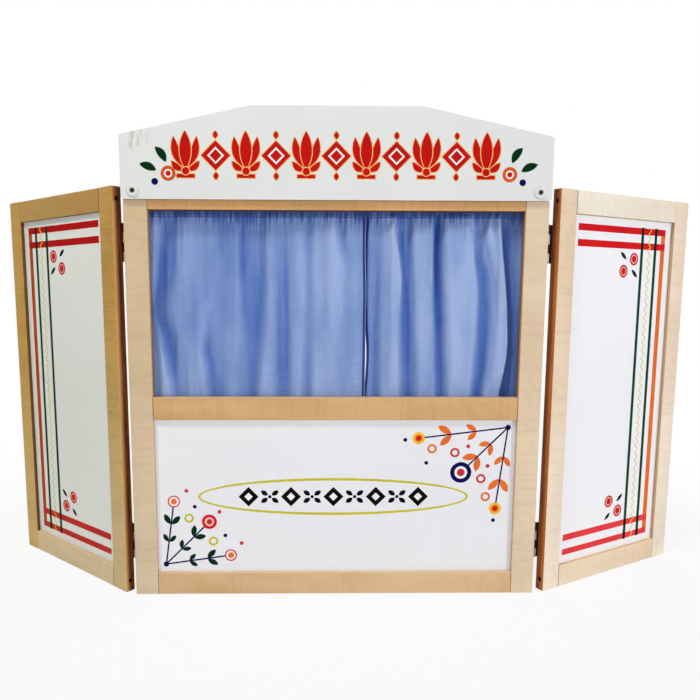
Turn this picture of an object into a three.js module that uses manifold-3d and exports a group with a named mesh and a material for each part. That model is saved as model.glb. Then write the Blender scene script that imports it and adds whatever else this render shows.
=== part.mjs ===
// A tabletop puppet theatre: a framed stage with a gathered curtain, a lower panel, a gabled header
// board, and two framed wings that fold on hinges behind the frame.
// Millimetres, +X to the right, +Y away from the audience, +Z up. The origin is the middle of the
// bottom rail's underside.
import * as THREE from 'three';
import { mergeVertices } from 'three/addons/utils/BufferGeometryUtils.js';
import Module from 'manifold-3d';

const wasm = await Module();
wasm.setup();

// Driving dimensions
const frameWidth = 720;
const frameHeight = 720;
const barWidth = 40; // every stile and rail is a strip of the same board
const barThickness = 18;
const ledgeHeight = 360; // top of the middle rail, the playing ledge
const wingWidth = 360;
const leftHingeGap = 7; // between the frame's edge and the wing's edge, when they stand in line
const rightHingeGap = 12; // this side's hinges are set wider
const leftWingAngle = 39.5; // degrees folded back from the line of the frame
const rightWingAngle = 28.5;

// Fits and finishes
const fitGap = 0.3; // between pieces that seat on or in each other
const cutOverrun = 2; // how far a cutter runs past the face that it leaves
const edgeRound = 1.5; // on the long edges of every bar
const weldReach = 0.0001; // vertices nearer than this are one

// Panels, held in grooves
const panelThickness = 4;
const grooveDepth = 6;

// Header board
const headerThickness = 6;
const headerOverhang = 1; // past the frame's outer edge on each side
const headerLap = 24; // how far it hangs over the front of the frame
const headerSideHeight = 104;
const headerGableRise = 47;
const headerTopWidth = 287;
const headerFootRound = 7;
const headerPeakRound = 3;
const headerScrewInset = 19; // from the frame's outer edge
const headerScrewRise = 14; // above the board's lower edge
const washerRadius = 10.5;
const washerThickness = 2.2;
const washerRimDrop = 1.2;

// Screws: the long ones join stiles to rails, the short ones hold the header board
const frameScrew = {
  length: 60,
  headRadius: 4,
  headHeight: 1,
  coneHeight: 2,
  shankRadius: 2.5,
  tipLength: 6,
  socketRadius: 1.9,
  socketDepth: 2.4,
};
const headerScrew = {
  length: 17,
  headRadius: 4,
  headHeight: 0.8,
  coneHeight: 2.2,
  shankRadius: 1.6,
  tipLength: 4,
  socketRadius: 1.7,
  socketDepth: 1.8,
};
const screwSides = 12;

// Hinges: two leaves whose knuckles take turns along one pin
const hingeHeight = 66;
const hingeInset = 60; // from the top and bottom ends of the stiles
const knuckleCount = 4;
const knuckleRadius = 3;
const knuckleSides = 16;
const leafWidth = 26; // from the pin's axis
const leafThickness = 1.2;
const leafCornerRound = 3;
const pinRadius = 1.4;
const pinHeadRadius = 2.3;
const pinHeadHeight = 0.7;
const leafHoleRadius = 1.8;
const leafSinkRadius = 3;
const leafHoleEdgeInset = 10; // from the leaf's ends
const leafHoleNear = 13; // from the pin's axis, the middle hole
const leafHoleFar = 19; // the outer two holes
const leafHoleSides = 12;

// Curtain rod and the screw eyes that carry it
const rodRadius = 3;
const rodStandOff = 7.6; // rod's axis behind the frame's rear face
const rodRise = 2; // rod's axis above the stage window's top edge, hidden by the top rail
const rodEndReach = 5; // past the eye on each side
const rodEndEase = 1;
const eyeInset = 6; // from the stile's inner edge
const eyeWireRadius = 1.1;
const eyeShankDepth = 12;
const eyeSides = 20;
const eyeWireSides = 8;
const rodSides = 16;

// Curtain: two halves, gathered on the rod
const clothThickness = 1.2;
const curtainPart = 50; // where the halves meet, right of the middle
const curtainPartGap = 1;
const curtainSideClearance = 1.5; // between a half's outer end and the eye
const curtainHemDrop = 30; // below the ledge, behind the middle rail
const pocketRadius = 4.8; // outside of the cloth round the rod
const pocketSeamDrop = 18; // from the rod's axis to the stitched line below it
const pocketFoldDepth = 0.6;
const hemFoldDepth = 5;
const leftFoldCount = 6;
const rightFoldCount = 6;
const foldSteps = 6;
const foldDriftShare = 0.13; // how unevenly the folds are spread
const sheetRowShares = [0, 0.18, 0.4, 0.62, 0.82, 1];
const pocketRowTurnShares = [-0.18, 0, 0.14, 0.32]; // turns round the rod, from its side up

// Places that follow from these
const halfFrame = frameWidth / 2;
const halfThickness = barThickness / 2;
const windowHalf = halfFrame - barWidth;
const windowTop = frameHeight - barWidth;
const hingeGaps = { left: leftHingeGap, right: rightHingeGap };
const pinY = halfThickness + fitGap + knuckleRadius;
const rodY = halfThickness + rodStandOff;
const rodZ = windowTop + rodRise;
const eyeX = windowHalf + eyeInset;
const frontY = -halfThickness - fitGap;

const up = new THREE.Vector3(0, 0, 1);
const right = new THREE.Vector3(1, 0, 0);
const left = new THREE.Vector3(-1, 0, 0);
const back = new THREE.Vector3(0, 1, 0);

// Materials
function finish(color, roughness, metalness) {
  return () => new THREE.MeshStandardMaterial({ color, roughness, metalness, flatShading: true });
}
const birch = finish(0xdcc39a, 0.62, 0);
const whiteBoard = finish(0xeceef0, 0.35, 0);
const whitePlastic = finish(0xf0f2f0, 0.4, 0);
const blueCloth = finish(0x7189c8, 0.8, 0);
const zincSteel = finish(0xb9bcc0, 0.35, 0.9);
const darkSteel = finish(0x55504a, 0.45, 0.9);

// Turns a closed geometry into a solid that can be joined and cut
function solidOf(geometry) {
  geometry.deleteAttribute('normal');
  geometry.deleteAttribute('uv');
  const merged = mergeVertices(geometry, weldReach);
  return new wasm.Manifold(
    new wasm.Mesh({
      numProp: 3,
      vertProperties: new Float32Array(merged.attributes.position.array),
      triVerts: new Uint32Array(merged.index.array),
    }),
  );
}

// A named mesh of a solid that was worked out in its group's frame, with its own origin at place
function piece(name, solid, place, material) {
  const { vertProperties, triVerts } = solid.getMesh();
  const geometry = new THREE.BufferGeometry();
  geometry.setAttribute('position', new THREE.BufferAttribute(new Float32Array(vertProperties), 3));
  geometry.setIndex(new THREE.BufferAttribute(new Uint32Array(triVerts), 1));
  geometry.translate(-place.x, -place.y, -place.z);
  geometry.computeVertexNormals();
  const mesh = new THREE.Mesh(geometry, material());
  mesh.name = name;
  mesh.position.copy(place);
  return mesh;
}

const at = (x, y, z) => new THREE.Vector3(x, y, z);
const pinPlace = (sideName, side) => at(side * (halfFrame + hingeGaps[sideName] / 2), pinY, 0);

// An outline whose corners are eased by the radius that comes with each point
function outline(corners) {
  const shape = new THREE.Shape();
  const count = corners.length;
  corners.forEach(([x, y, radius], i) => {
    const corner = new THREE.Vector2(x, y);
    const before = new THREE.Vector2(...corners[(i + count - 1) % count]);
    const after = new THREE.Vector2(...corners[(i + 1) % count]);
    const start = corner.clone().add(before.sub(corner).setLength(radius));
    const end = corner.clone().add(after.sub(corner).setLength(radius));
    if (i === 0) shape.moveTo(start.x, start.y);
    else shape.lineTo(start.x, start.y);
    if (radius > 0) shape.quadraticCurveTo(corner.x, corner.y, end.x, end.y);
  });
  shape.closePath();
  return shape;
}

// A shape drawn in X and Z, given its thickness along Y from nearY
function boardOf(shape, nearY, thickness, curveSegments) {
  const geometry = new THREE.ExtrudeGeometry(shape, { depth: thickness, bevelEnabled: false, curveSegments });
  geometry.rotateX(Math.PI / 2);
  geometry.translate(0, nearY + thickness, 0);
  return solidOf(geometry);
}

function boxSolid(low, high) {
  const size = high.clone().sub(low);
  const middle = high.clone().add(low).multiplyScalar(0.5);
  const geometry = new THREE.BoxGeometry(size.x, size.y, size.z);
  geometry.translate(middle.x, middle.y, middle.z);
  return solidOf(geometry);
}

// A bar of the board, with its long edges rounded: upright, or lying along X
function barSolid(low, high, upright, midY) {
  const r = edgeRound;
  const section = (a, b) =>
    outline([
      [a, -halfThickness, r],
      [b, -halfThickness, r],
      [b, halfThickness, r],
      [a, halfThickness, r],
    ]);
  const depth = upright ? high.z - low.z : high.x - low.x;
  const shape = upright ? section(low.x, high.x) : section(-high.z, -low.z);
  const geometry = new THREE.ExtrudeGeometry(shape, { depth, bevelEnabled: false, curveSegments: 3 });
  if (!upright) geometry.rotateY(Math.PI / 2);
  geometry.translate(upright ? 0 : low.x, midY, upright ? low.z : 0);
  return solidOf(geometry);
}

// A turned solid: its profile is drawn as radius and distance ahead of the start, along the axis
function turned(profile, start, axis, sides) {
  const points = profile.map(([radius, ahead]) => new THREE.Vector2(radius, ahead));
  const geometry = new THREE.LatheGeometry(points, sides);
  geometry.applyQuaternion(new THREE.Quaternion().setFromUnitVectors(back, axis));
  geometry.translate(start.x, start.y, start.z);
  return solidOf(geometry);
}

// Runs along the axis from where the head's face lies
function screwSolid(screw, start, axis) {
  const { length, headRadius, headHeight, coneHeight, shankRadius, tipLength } = screw;
  const body = turned(
    [
      [0, 0],
      [headRadius, 0],
      [headRadius, headHeight],
      [shankRadius, headHeight + coneHeight],
      [shankRadius, length - tipLength],
      [0, length],
    ],
    start,
    axis,
    screwSides,
  );
  const socket = turned(
    [
      [0, -cutOverrun],
      [screw.socketRadius, -cutOverrun],
      [screw.socketRadius, screw.socketDepth],
      [0, screw.socketDepth],
    ],
    start,
    axis,
    6,
  );
  return body.subtract(socket);
}

function screwHole(screw, start, axis) {
  const { length, headRadius, headHeight, coneHeight, shankRadius } = screw;
  return turned(
    [
      [0, -cutOverrun],
      [headRadius + fitGap, -cutOverrun],
      [headRadius + fitGap, headHeight + fitGap],
      [shankRadius + fitGap, headHeight + coneHeight + fitGap],
      [shankRadius + fitGap, length + fitGap],
      [0, length + fitGap],
    ],
    start,
    axis,
    screwSides,
  );
}

// A frame of two stiles, with rails between them and a panel grooved into all four sides of a bay.
// Each rail end is held by a screw through the stile, from the stile's outer edge.
function framework({ names, lowX, highX, midY, rails, bay, panelName, screwName, stileCuts }) {
  const pieces = [];
  const stiles = [
    { name: names[0], low: at(lowX, midY, 0), high: at(lowX + barWidth, midY, frameHeight), edge: lowX, axis: right },
    { name: names[1], low: at(highX - barWidth, midY, 0), high: at(highX, midY, frameHeight), edge: highX, axis: left },
  ];
  const panelHalf = panelThickness / 2;
  const reach = grooveDepth - fitGap;
  const innerLow = lowX + barWidth;
  const innerHigh = highX - barWidth;
  const panelLow = at(innerLow - reach, midY - panelHalf, bay.bottom - reach);
  const panelHigh = at(innerHigh + reach, midY + panelHalf, bay.top + reach);
  const gap = at(fitGap, fitGap, fitGap);
  const groove = boxSolid(panelLow.clone().sub(gap), panelHigh.clone().add(gap));
  const screws = rails.flatMap((rail) =>
    stiles.map((stile, side) => {
      const start = at(stile.edge, midY, (rail.bottom + rail.top) / 2).addScaledVector(stile.axis, fitGap);
      return { name: screwName(rail, side), start, axis: stile.axis };
    }),
  );
  const holes = screws.map(({ start, axis }) => screwHole(frameScrew, start, axis));
  const cutBy = (solid, cutters) => cutters.reduce((rest, cutter) => rest.subtract(cutter), solid);
  for (const stile of stiles) {
    const solid = cutBy(barSolid(stile.low, stile.high, true, midY), [groove, ...holes, ...stileCuts]);
    pieces.push(piece(stile.name, solid, at((stile.low.x + stile.high.x) / 2, midY, 0), birch));
  }
  for (const rail of rails) {
    const low = at(innerLow + fitGap, midY, rail.bottom);
    const high = at(innerHigh - fitGap, midY, rail.top);
    const solid = cutBy(barSolid(low, high, false, midY), [groove, ...holes]);
    pieces.push(piece(rail.name, solid, at((innerLow + innerHigh) / 2, midY, rail.bottom), birch));
  }
  const panelPlace = at((innerLow + innerHigh) / 2, midY, bay.bottom);
  pieces.push(piece(panelName, boxSolid(panelLow, panelHigh), panelPlace, whiteBoard));
  for (const { name, start, axis } of screws) {
    pieces.push(piece(name, screwSolid(frameScrew, start, axis), start, darkSteel));
  }
  return pieces;
}

// Header board, its washers and its screws
const headerBottom = frameHeight - headerLap;
const headerFace = frontY - headerThickness;
const headerScrews = [-1, 1].map((side) => ({
  name: side < 0 ? 'header_left' : 'header_right',
  start: at(side * (halfFrame - headerScrewInset), headerFace - fitGap - washerThickness, headerBottom + headerScrewRise),
}));
const headerHoles = headerScrews.map(({ start }) => screwHole(headerScrew, start, back));

function headerBoard() {
  const half = halfFrame + headerOverhang;
  const halfTop = headerTopWidth / 2;
  const shoulder = headerBottom + headerSideHeight;
  const peak = shoulder + headerGableRise;
  const shape = outline([
    [-half, headerBottom, headerFootRound],
    [half, headerBottom, headerFootRound],
    [half, shoulder, headerPeakRound],
    [halfTop, peak, headerPeakRound],
    [-halfTop, peak, headerPeakRound],
    [-half, shoulder, headerPeakRound],
  ]);
  const solid = headerHoles.reduce(
    (rest, hole) => rest.subtract(hole),
    boardOf(shape, headerFace, headerThickness, 5),
  );
  return piece('header_board', solid, at(0, frontY, headerBottom), whiteBoard);
}

// A dished white washer, cut by the seat of the screw's head
function washer({ name, start }, hole) {
  const disc = turned(
    [
      [0, 0],
      [washerRadius - washerRimDrop, 0],
      [washerRadius, washerRimDrop],
      [washerRadius, washerThickness],
      [0, washerThickness],
    ],
    start,
    back,
    24,
  );
  return piece(`${name}_washer`, disc.subtract(hole), start, whitePlastic);
}

function header() {
  const group = new THREE.Group();
  group.add(headerBoard());
  headerScrews.forEach((screw, i) => {
    group.add(washer(screw, headerHoles[i]));
    group.add(piece(`${screw.name}_screw`, screwSolid(headerScrew, screw.start, back), screw.start, darkSteel));
  });
  return group;
}

// Rod, and the two screw eyes that it lies in
const eyeRingRadius = rodRadius + fitGap + eyeWireRadius;
const eyeShankEnd = halfThickness - eyeShankDepth;

function screwEye(side) {
  const centre = at(side * eyeX, rodY, rodZ);
  const ring = new THREE.TorusGeometry(eyeRingRadius, eyeWireRadius, eyeWireSides, eyeSides);
  ring.rotateY(Math.PI / 2);
  ring.translate(centre.x, centre.y, centre.z);
  const shank = turned(
    [
      [0, 0],
      [eyeWireRadius, eyeWireRadius * 2],
      [eyeWireRadius, rodY - eyeRingRadius - eyeShankEnd],
      [0, rodY - eyeRingRadius - eyeShankEnd],
    ],
    at(centre.x, eyeShankEnd, centre.z),
    back,
    eyeWireSides,
  );
  return piece(side < 0 ? 'left_rod_eye' : 'right_rod_eye', solidOf(ring).add(shank), centre, zincSteel);
}

const eyeHoles = [-1, 1].map((side) =>
  turned(
    [
      [0, 0],
      [eyeWireRadius + fitGap, 0],
      [eyeWireRadius + fitGap, eyeShankDepth + fitGap + cutOverrun],
      [0, eyeShankDepth + fitGap + cutOverrun],
    ],
    at(side * eyeX, eyeShankEnd - fitGap, rodZ),
    back,
    eyeWireSides,
  ),
);

function curtainRod() {
  const halfLength = eyeX + eyeWireRadius + rodEndReach;
  const solid = turned(
    [
      [0, 0],
      [rodRadius - rodEndEase, 0],
      [rodRadius, rodEndEase],
      [rodRadius, 2 * halfLength - rodEndEase],
      [rodRadius - rodEndEase, 2 * halfLength],
      [0, 2 * halfLength],
    ],
    at(-halfLength, rodY, rodZ),
    right,
    rodSides,
  );
  return piece('curtain_rod', solid, at(0, rodY, rodZ), zincSteel);
}

// One half of the curtain. Its cloth hangs in folds that deepen from the pocket to the hem, and the
// pocket at the top goes round the rod.
function curtainHalf(name, lowX, highX, foldCount, phase) {
  const hemZ = ledgeHeight - curtainHemDrop;
  const seamZ = rodZ - pocketSeamDrop;
  const halfCloth = clothThickness / 2;
  const rows = sheetRowShares.map((share) => ({
    z: hemZ + (seamZ - hemZ) * share,
    half: halfCloth,
    depth: THREE.MathUtils.lerp(hemFoldDepth, pocketFoldDepth, share * share),
  }));
  for (const share of pocketRowTurnShares.map((turn) => turn * Math.PI)) {
    const z = rodZ + pocketRadius * Math.sin(share);
    rows.push({ z, half: pocketRadius * Math.cos(share), depth: pocketFoldDepth });
  }
  rows.push({ z: rodZ + pocketRadius, half: 0, depth: pocketFoldDepth });
  const columns = foldCount * foldSteps;
  const ring = 2 * rows.length - 1;
  const positions = [];
  for (let i = 0; i <= columns; i += 1) {
    const along = i / columns;
    const x = THREE.MathUtils.lerp(lowX, highX, along);
    const drift = foldDriftShare * Math.sin(2 * Math.PI * (along + phase));
    const fold = Math.sin(2 * Math.PI * (foldCount * along + drift + phase));
    const place = (row, side) => positions.push(x, rodY + fold * row.depth + side * row.half, row.z);
    rows.forEach((row) => place(row, -1));
    rows.slice(0, -1).reverse().forEach((row) => place(row, 1));
  }
  const indices = [];
  for (let i = 0; i < columns; i += 1) {
    for (let j = 0; j < ring; j += 1) {
      const a = i * ring + j;
      const b = i * ring + ((j + 1) % ring);
      indices.push(a, a + ring, b, b, a + ring, b + ring);
    }
  }
  const top = rows.length - 1;
  for (const [first, flip] of [[0, true], [columns * ring, false]]) {
    for (let j = 0; j < top; j += 1) {
      const front = first + j;
      const rear = first + ring - 1 - j;
      const faces = [[front, rear, front + 1]];
      if (j < top - 1) faces.push([front + 1, rear, rear - 1]);
      faces.forEach(([a, b, c]) => indices.push(...(flip ? [a, c, b] : [a, b, c])));
    }
  }
  const geometry = new THREE.BufferGeometry();
  geometry.setAttribute('position', new THREE.Float32BufferAttribute(positions, 3));
  geometry.setIndex(indices);
  const boreRadius = (rodRadius + fitGap) / Math.cos(Math.PI / rodSides);
  const boreLength = highX - lowX + 2 * cutOverrun;
  const bore = turned(
    [
      [0, 0],
      [boreRadius, 0],
      [boreRadius, boreLength],
      [0, boreLength],
    ],
    at(lowX - cutOverrun, rodY, rodZ),
    right,
    rodSides,
  );
  return piece(name, solidOf(geometry).subtract(bore), at((lowX + highX) / 2, rodY, rodZ), blueCloth);
}

// Hinge leaf in the frame of its pin: it reaches to one side, and has every second knuckle
const knuckleHeight = hingeHeight / knuckleCount;
const knuckleEase = fitGap / 2;

function hingeLeaf(side, firstKnuckle) {
  const mine = (k) => k % 2 === firstKnuckle;
  const edge = (k) => side * (mine(k) ? 0 : knuckleRadius + fitGap);
  const corners = [
    [side * leafWidth, hingeHeight, leafCornerRound],
    [side * leafWidth, 0, leafCornerRound],
  ];
  for (let k = 0; k < knuckleCount; k += 1) {
    const ease = (z, towards) => (z > 0 && z < hingeHeight ? z + towards * knuckleEase : z);
    const inset = mine(k) ? 1 : -1;
    corners.push([edge(k), ease(k * knuckleHeight, inset), 0]);
    corners.push([edge(k), ease((k + 1) * knuckleHeight, -inset), 0]);
  }
  let solid = boardOf(outline(corners), -knuckleRadius, leafThickness, 3);
  for (let k = firstKnuckle; k < knuckleCount; k += 2) {
    const low = k * knuckleHeight + (k > 0 ? knuckleEase : 0);
    const high = (k + 1) * knuckleHeight - (k < knuckleCount - 1 ? knuckleEase : 0);
    const barrel = new THREE.CylinderGeometry(knuckleRadius, knuckleRadius, high - low, knuckleSides);
    barrel.rotateX(Math.PI / 2);
    barrel.translate(0, 0, (low + high) / 2);
    solid = solid.add(solidOf(barrel));
  }
  const bore = new THREE.CylinderGeometry(
    pinRadius + fitGap,
    pinRadius + fitGap,
    hingeHeight + 2 * cutOverrun,
    knuckleSides,
  );
  bore.rotateX(Math.PI / 2);
  bore.translate(0, 0, hingeHeight / 2);
  solid = solid.subtract(solidOf(bore));
  const holes = [
    [leafHoleFar, leafHoleEdgeInset],
    [leafHoleNear, hingeHeight / 2],
    [leafHoleFar, hingeHeight - leafHoleEdgeInset],
  ];
  for (const [x, z] of holes) {
    const flare = (leafSinkRadius - leafHoleRadius) / leafThickness;
    const sink = turned(
      [
        [0, -cutOverrun],
        [leafHoleRadius, -cutOverrun],
        [leafHoleRadius, 0],
        [leafSinkRadius + flare * fitGap, leafThickness + fitGap],
        [0, leafThickness + fitGap],
      ],
      at(side * x, -knuckleRadius, z),
      back,
      leafHoleSides,
    );
    solid = solid.subtract(sink);
  }
  return solid;
}

// Headed pin, dropped through the knuckles and peened
function hingePin() {
  const headLow = -fitGap - pinHeadHeight;
  const headHigh = hingeHeight + fitGap + pinHeadHeight;
  return turned(
    [
      [0, 0],
      [pinHeadRadius, 0],
      [pinHeadRadius, pinHeadHeight],
      [pinRadius, pinHeadHeight],
      [pinRadius, headHigh - headLow - pinHeadHeight],
      [pinHeadRadius, headHigh - headLow - pinHeadHeight],
      [pinHeadRadius, headHigh - headLow],
      [0, headHigh - headLow],
    ],
    at(0, 0, headLow),
    up,
    knuckleSides,
  );
}

const hinges = [
  { level: 'lower', z: hingeInset },
  { level: 'upper', z: frameHeight - hingeInset - hingeHeight },
];

// A wing, in the frame of its pins: it stands to one side of them, in line with the main frame
function wing(sideName, side, angle) {
  const group = new THREE.Group();
  const near = hingeGaps[sideName] / 2;
  const far = near + wingWidth;
  const sides = side < 0 ? ['outer', 'inner'] : ['inner', 'outer'];
  const named = (part) => `${sideName}_wing_${part}`;
  const pieces = framework({
    names: sides.map((place) => named(`${place}_stile`)),
    lowX: side < 0 ? -far : near,
    highX: side < 0 ? -near : far,
    midY: -pinY,
    rails: [
      { name: named('bottom_rail'), level: 'bottom', bottom: 0, top: barWidth },
      { name: named('top_rail'), level: 'top', bottom: frameHeight - barWidth, top: frameHeight },
    ],
    bay: { bottom: barWidth, top: frameHeight - barWidth },
    panelName: named('panel'),
    screwName: (rail, place) => named(`${rail.level}_${sides[place]}_screw`),
    stileCuts: [],
  });
  group.add(...pieces);
  for (const { level, z } of hinges) {
    const leaf = piece(`${sideName}_${level}_hinge_wing_leaf`, hingeLeaf(side, 1), at(0, 0, 0), zincSteel);
    leaf.position.set(0, 0, z);
    group.add(leaf);
  }
  group.position.copy(pinPlace(sideName, side));
  group.rotation.z = side * THREE.MathUtils.degToRad(angle);
  return group;
}

// The halves of the hinges that stay with the frame, and the pins
function frameHinges(sideName, side) {
  const group = new THREE.Group();
  for (const { level, z } of hinges) {
    const leaf = piece(`${sideName}_${level}_hinge_frame_leaf`, hingeLeaf(-side, 0), at(0, 0, 0), zincSteel);
    const pin = piece(`${sideName}_${level}_hinge_pin`, hingePin(), at(0, 0, 0), zincSteel);
    leaf.position.set(0, 0, z);
    pin.position.set(0, 0, z);
    group.add(leaf, pin);
  }
  group.position.copy(pinPlace(sideName, side));
  return group;
}

function stageFrame() {
  const sides = ['left', 'right'];
  const rails = [
    { name: 'frame_bottom_rail', level: 'bottom', bottom: 0, top: barWidth },
    { name: 'frame_middle_rail', level: 'middle', bottom: ledgeHeight - barWidth, top: ledgeHeight },
    { name: 'frame_top_rail', level: 'top', bottom: windowTop, top: frameHeight },
  ];
  return framework({
    names: ['frame_left_stile', 'frame_right_stile'],
    lowX: -halfFrame,
    highX: halfFrame,
    midY: 0,
    rails,
    bay: { bottom: barWidth, top: ledgeHeight - barWidth },
    panelName: 'lower_panel',
    screwName: (rail, side) => `frame_${rail.level}_${sides[side]}_screw`,
    stileCuts: [...headerHoles, ...eyeHoles],
  });
}

function curtain() {
  const group = new THREE.Group();
  const outer = eyeX - eyeWireRadius - curtainSideClearance;
  const leftEdge = curtainPart - curtainPartGap;
  const rightEdge = curtainPart + curtainPartGap;
  group.add(
    curtainRod(),
    screwEye(-1),
    screwEye(1),
    curtainHalf('left_curtain', -outer, leftEdge, leftFoldCount, 0.1),
    curtainHalf('right_curtain', rightEdge, outer, rightFoldCount, 0.35),
  );
  return group;
}

const theatre = new THREE.Group();
theatre.add(
  ...stageFrame(),
  header(),
  curtain(),
  frameHinges('left', -1),
  frameHinges('right', 1),
  wing('left', -1, leftWingAngle),
  wing('right', 1, rightWingAngle),
);

export default theatre;
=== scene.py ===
import math
import random

import bmesh
import bpy
from mathutils import Matrix, Vector, noise


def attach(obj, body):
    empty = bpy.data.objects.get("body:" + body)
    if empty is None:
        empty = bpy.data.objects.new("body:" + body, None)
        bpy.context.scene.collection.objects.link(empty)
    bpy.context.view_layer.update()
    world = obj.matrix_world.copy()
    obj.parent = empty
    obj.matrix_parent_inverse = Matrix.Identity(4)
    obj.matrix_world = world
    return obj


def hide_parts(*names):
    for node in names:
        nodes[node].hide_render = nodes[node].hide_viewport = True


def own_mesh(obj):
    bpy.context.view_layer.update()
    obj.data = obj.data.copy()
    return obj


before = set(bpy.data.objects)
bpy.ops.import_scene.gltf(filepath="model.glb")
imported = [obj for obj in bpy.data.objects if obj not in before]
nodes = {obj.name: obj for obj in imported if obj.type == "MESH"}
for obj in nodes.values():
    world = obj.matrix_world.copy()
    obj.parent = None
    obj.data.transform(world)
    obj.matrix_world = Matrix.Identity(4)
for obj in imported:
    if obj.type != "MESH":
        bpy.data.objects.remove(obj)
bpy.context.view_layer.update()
mm = 0.001
print("model loaded:", len(nodes), "nodes")


# Camera, from the photograph: place in metres, angles in degrees, the rest in picture points
view = {
    "place": (-0.03319, -1.11562, 0.53814), "yaw": 0.867, "pitch": 7.238, "roll": 0.192,
    "focal": 640.86, "centre": (326.92, 376.6), "picture": 700, "sensor": 36,
}


def setAll(thing, values):
    for key, value in values.items():
        setattr(thing, key, value)


def addObject(name, data):
    new = bpy.data.objects.new(name, data)
    bpy.context.collection.objects.link(new)
    return new


def makeCamera():
    lens = bpy.data.cameras.new("camera")
    lens.sensor_width = view["sensor"]
    lens.lens = view["focal"] / view["picture"] * view["sensor"]
    lens.shift_x = 0.5 - view["centre"][0] / view["picture"]
    lens.shift_y = view["centre"][1] / view["picture"] - 0.5
    lens.clip_start = 0.01
    place = Matrix.Translation(view["place"])
    for angle, axis in ((-view["yaw"], "Z"), (90 - view["pitch"], "X"), (view["roll"], "Z")):
        place = place @ Matrix.Rotation(math.radians(angle), 4, axis)
    camera = addObject("camera", lens)
    camera.matrix_world = place
    bpy.context.scene.camera = camera


makeCamera()


# Where the hinge pins stand, and each wing's turn about its own
pin = {
    "left": -0.3635, "right": 0.366, "y": 0.0123, "wingMiddle": -0.0123,
    "leftTurn": -39.5, "rightTurn": 28.5,
}
sideNames = {-1: "left", 1: "right"}
sideOf = {"frame": 0, "left": -1, "right": 1}


def pinMatrix(side):
    return Matrix.Translation((pin[sideNames[side]], pin["y"], 0))


def wingMatrix(side):
    turn = math.radians(pin[sideNames[side] + "Turn"])
    return pinMatrix(side) @ Matrix.Rotation(turn, 4, "Z")


# Shader helpers, which add to the tree that is being made. A tone is red, green and blue from 0 to 255.
making = {}


def linear(value):
    share = value / 255
    return share / 12.92 if share <= 0.04045 else ((share + 0.055) / 1.055) ** 2.4


def paint(tone):
    return (*(linear(value) for value in tone), 1) if isinstance(tone, tuple) else tone


def addNode(kind, inputs=None, **settings):
    tree = making["tree"]
    new = tree.nodes.new("ShaderNode" + kind)
    setAll(new, settings)
    for key, value in (inputs or {}).items():
        if isinstance(value, bpy.types.NodeSocket):
            tree.links.new(value, new.inputs[key])
        else:
            new.inputs[key].default_value = value
    return new


def calc(operation, first, second=0.0):
    return addNode("Math", {0: first, 1: second}, operation=operation).outputs[0]


def plus(total, *parts):
    for part in parts:
        total = calc("ADD", total, part)
    return total


def times(total, *parts):
    for part in parts:
        total = calc("MULTIPLY", total, part)
    return total


def blend(share, first, second):
    inputs = {0: share, 6: paint(first), 7: paint(second)}
    return addNode("Mix", inputs, data_type="RGBA").outputs[2]


def rescale(value, low, high, newLow=0.0, newHigh=1.0):
    inputs = {0: value, 1: low, 2: high, 3: newLow, 4: newHigh}
    return addNode("MapRange", inputs, interpolation_type="SMOOTHSTEP").outputs[0]


def splitPlace(place):
    return addNode("SeparateXYZ", {0: place}).outputs


def speckle(place, stretch, detail=3.0, distortion=0.0):
    spread = addNode("Mapping", {"Vector": place, "Scale": stretch})
    inputs = {"Vector": spread.outputs[0], "Scale": 1.0, "Detail": detail, "Distortion": distortion}
    return addNode("TexNoise", inputs).outputs[0]


def evenSpeckle(place, scale, detail=3.0):
    return speckle(place, (scale, scale, scale), detail)


def principled():
    return making["tree"].nodes["Principled BSDF"]


def startMaterial(name, **sockets):
    material = bpy.data.materials.new(name)
    material.use_nodes = True
    making["tree"] = material.node_tree
    for key, value in sockets.items():
        principled().inputs[key.replace("_", " ")].default_value = value
    return material


def feed(socket, value):
    making["tree"].links.new(value, principled().inputs[socket])


def addBump(height, distance, strength):
    inputs = {"Height": height, "Distance": distance, "Strength": strength}
    feed("Normal", addNode("Bump", inputs).outputs[0])


# A place on the part, for a wing along and across its own panel
def objectPlace(side=0):
    place = addNode("TexCoord").outputs["Object"]
    if side == 0:
        return place
    matrix = wingMatrix(side)
    inputs = {
        "Vector": place,
        "Location": matrix @ Vector((0, pin["wingMiddle"], 0)),
        "Rotation": (0, 0, matrix.to_euler().z),
    }
    return addNode("Mapping", inputs, vector_type="TEXTURE").outputs[0]


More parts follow.
